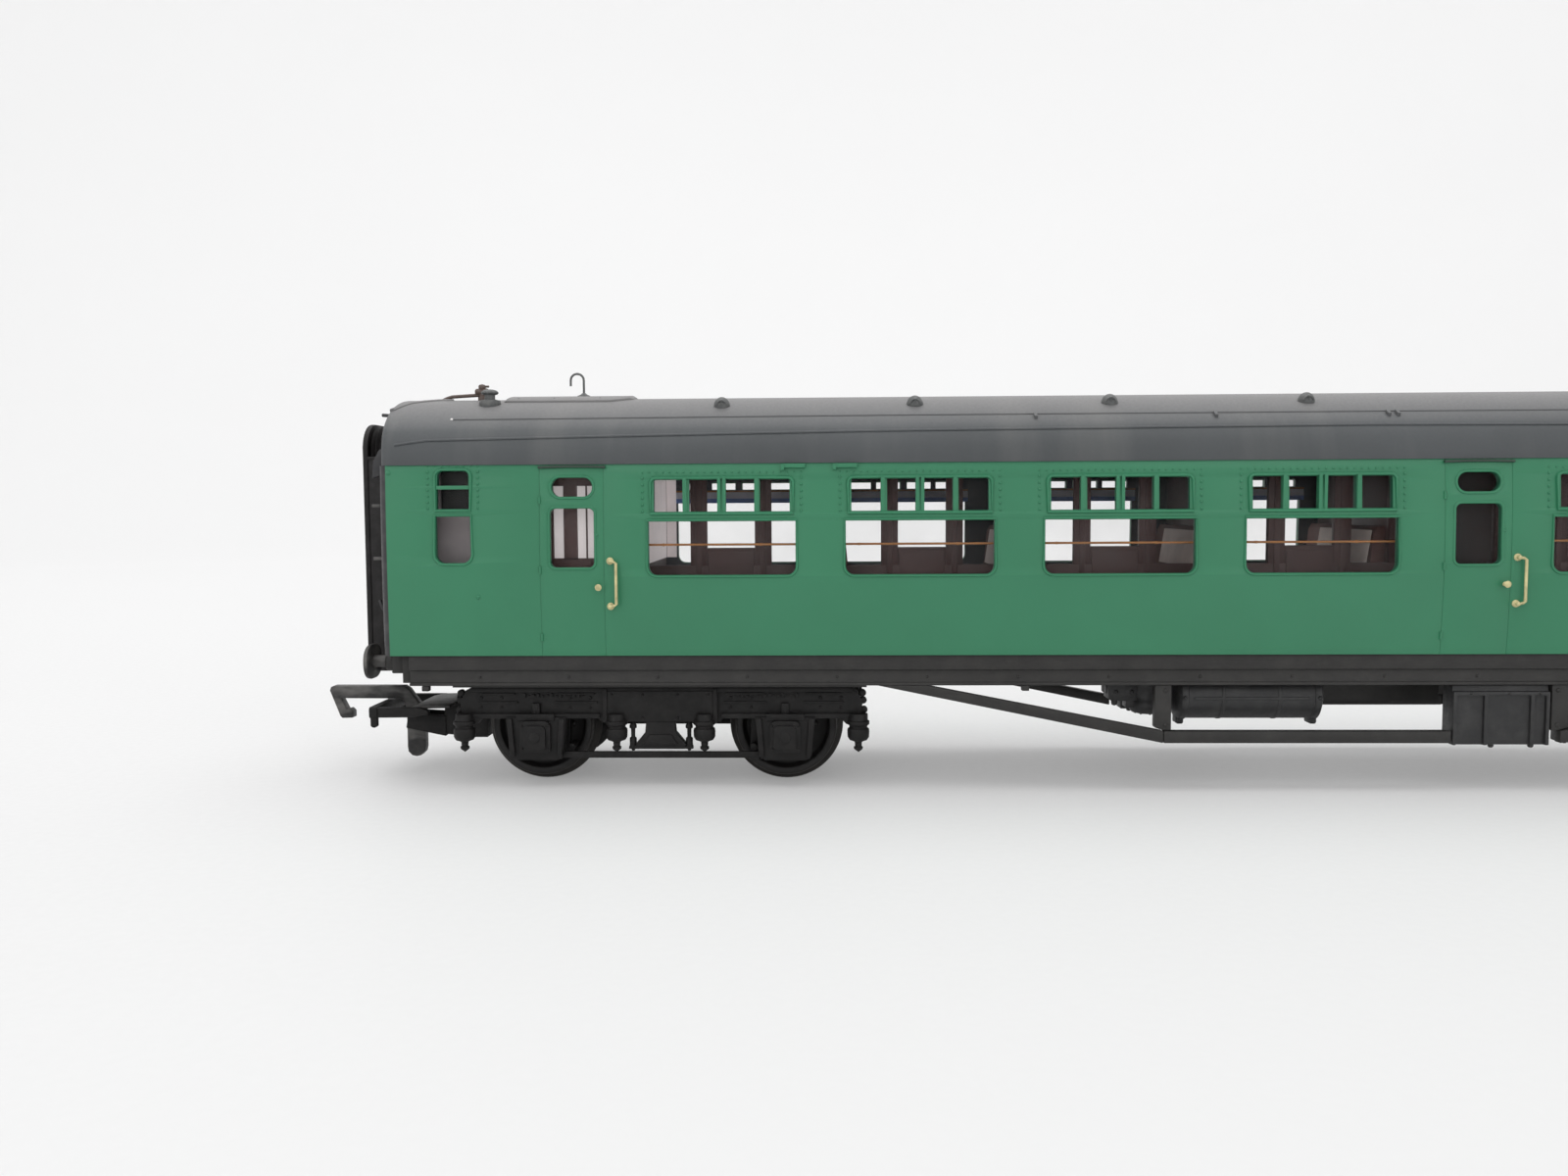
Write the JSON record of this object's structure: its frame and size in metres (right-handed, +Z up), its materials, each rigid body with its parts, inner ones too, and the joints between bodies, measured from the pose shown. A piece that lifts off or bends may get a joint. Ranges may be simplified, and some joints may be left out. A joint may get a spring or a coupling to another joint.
{
  "type": "model passenger coach",
  "caption": "Model railway corridor coach with side windows, arched roof, end gangways, truss underframe and swivelling bogies with hook couplings.",
  "frame": {"origin": "under the middle of the coach, on the surface that the wheel flanges stand on", "axes": "+X along the coach, -Y the corridor side, +Z up"},
  "size_m": [0.2872, 0.0374, 0.0576],
  "materials": {
    "body_green": "satin printed green",
    "roof_grey": "matt mid grey",
    "clear_glazing": "clear moulded plastic",
    "rail_brown": "printed orange-brown",
    "interior_maroon": "self-coloured dark maroon",
    "interior_grey": "grey-brown",
    "seat_first": "self-coloured",
    "seat_second": "self-coloured",
    "steel": "plain",
    "underframe_black": "matt near-black",
    "bogie_black": "matt near-black",
    "gangway_dark": "matt black-brown",
    "roof_fittings": "matt grey",
    "pipe_brown": "matt grey-brown",
    "strip_dark": "matt dark",
    "pale_gold": "printed pale gold",
    "bearing_brass": "turned",
    "axle_steel": "blackened",
    "wheel_dark": "dark nickel and black"
  },
  "bodies": {
    "coach": {"body_shell": "body_green", "roof": "roof_grey", "glazing_corridor_side": "clear_glazing", "glazing_compartment_side": "clear_glazing", "corridor_handrails": "rail_brown", "interior_floor": "interior_maroon", "corridor_partition": "interior_maroon", "compartment_walls": "interior_maroon", "end_walls": "interior_grey", "seats_first_class": "seat_first", "seats_second_class": "seat_second", "ballast_weight": "steel", "body_screws": "steel", "chassis_floor": "underframe_black", "solebars": "underframe_black", "headstocks": "underframe_black", "truss_rods": "underframe_black", "truss_posts": "underframe_black", "reservoir_tank": "underframe_black", "vacuum_cylinders": "underframe_black", "battery_boxes": "underframe_black", "brake_gear": "underframe_black", "solebar_steps": "underframe_black", "buffer_housings": "underframe_black", "buffer_heads": "underframe_black", "gangway_bellows_left": "gangway_dark", "gangway_bellows_right": "gangway_dark", "gangway_plate_left": "gangway_dark", "gangway_plate_right": "gangway_dark", "gangway_doors": "gangway_dark", "roof_vents": "roof_fittings", "mushroom_vents": "roof_fittings", "tank_cover_left": "roof_grey", "tank_cover_right": "roof_grey", "gooseneck_pipes": "roof_fittings", "filler_pipes": "pipe_brown", "rain_strips": "strip_dark", "door_handles": "pale_gold", "grab_handles": "pale_gold", "end_steps": "underframe_black", "lamp_brackets": "underframe_black", "pivot_screws": "steel"},
    "bogie_left": {"bogie_frame_left": "bogie_black", "bearing_cups_left": "bearing_brass", "coupling_left": "bogie_black", "hook_pin_left": "steel"},
    "bogie_right": {"bogie_frame_right": "bogie_black", "bearing_cups_right": "bearing_brass", "coupling_right": "bogie_black", "hook_pin_right": "steel"},
    "hook_arm_left": {"hook_left": "bogie_black"},
    "hook_arm_right": {"hook_right": "bogie_black"},
    "wheelset_1": {"axle_1": "axle_steel", "wheels_1": "wheel_dark"},
    "wheelset_2": {"axle_2": "axle_steel", "wheels_2": "wheel_dark"},
    "wheelset_3": {"axle_3": "axle_steel", "wheels_3": "wheel_dark"},
    "wheelset_4": {"axle_4": "axle_steel", "wheels_4": "wheel_dark"}
  },
  "joints": [
    {"name": "bogie_left_swivel", "type": "hinge", "parent": "coach", "child": "bogie_left", "pos_m": [-0.093, 0, 0.012], "axis": [0, 0, 1], "range_deg": [-12, 12]},
    {"name": "bogie_right_swivel", "type": "hinge", "parent": "coach", "child": "bogie_right", "pos_m": [0.093, 0, 0.012], "axis": [0, 0, 1], "range_deg": [-12, 12]},
    {"name": "wheelset_1_spin", "type": "hinge", "parent": "bogie_left", "child": "wheelset_1", "pos_m": [-0.11, 0, 0.00795], "axis": [0, 1, 0], "continuous": true},
    {"name": "wheelset_2_spin", "type": "hinge", "parent": "bogie_left", "child": "wheelset_2", "pos_m": [-0.076, 0, 0.00795], "axis": [0, 1, 0], "continuous": true},
    {"name": "wheelset_3_spin", "type": "hinge", "parent": "bogie_right", "child": "wheelset_3", "pos_m": [0.076, 0, 0.00795], "axis": [0, 1, 0], "continuous": true},
    {"name": "wheelset_4_spin", "type": "hinge", "parent": "bogie_right", "child": "wheelset_4", "pos_m": [0.11, 0, 0.00795], "axis": [0, 1, 0], "continuous": true},
    {"name": "hook_left_lift", "type": "hinge", "parent": "bogie_left", "child": "hook_arm_left", "pos_m": [-0.1309, 0, 0.0072], "axis": [0, 1, 0], "range_deg": [0, 20]},
    {"name": "hook_right_lift", "type": "hinge", "parent": "bogie_right", "child": "hook_arm_right", "pos_m": [0.1309, 0, 0.0072], "axis": [0, -1, 0], "range_deg": [0, 20]}
  ]
}
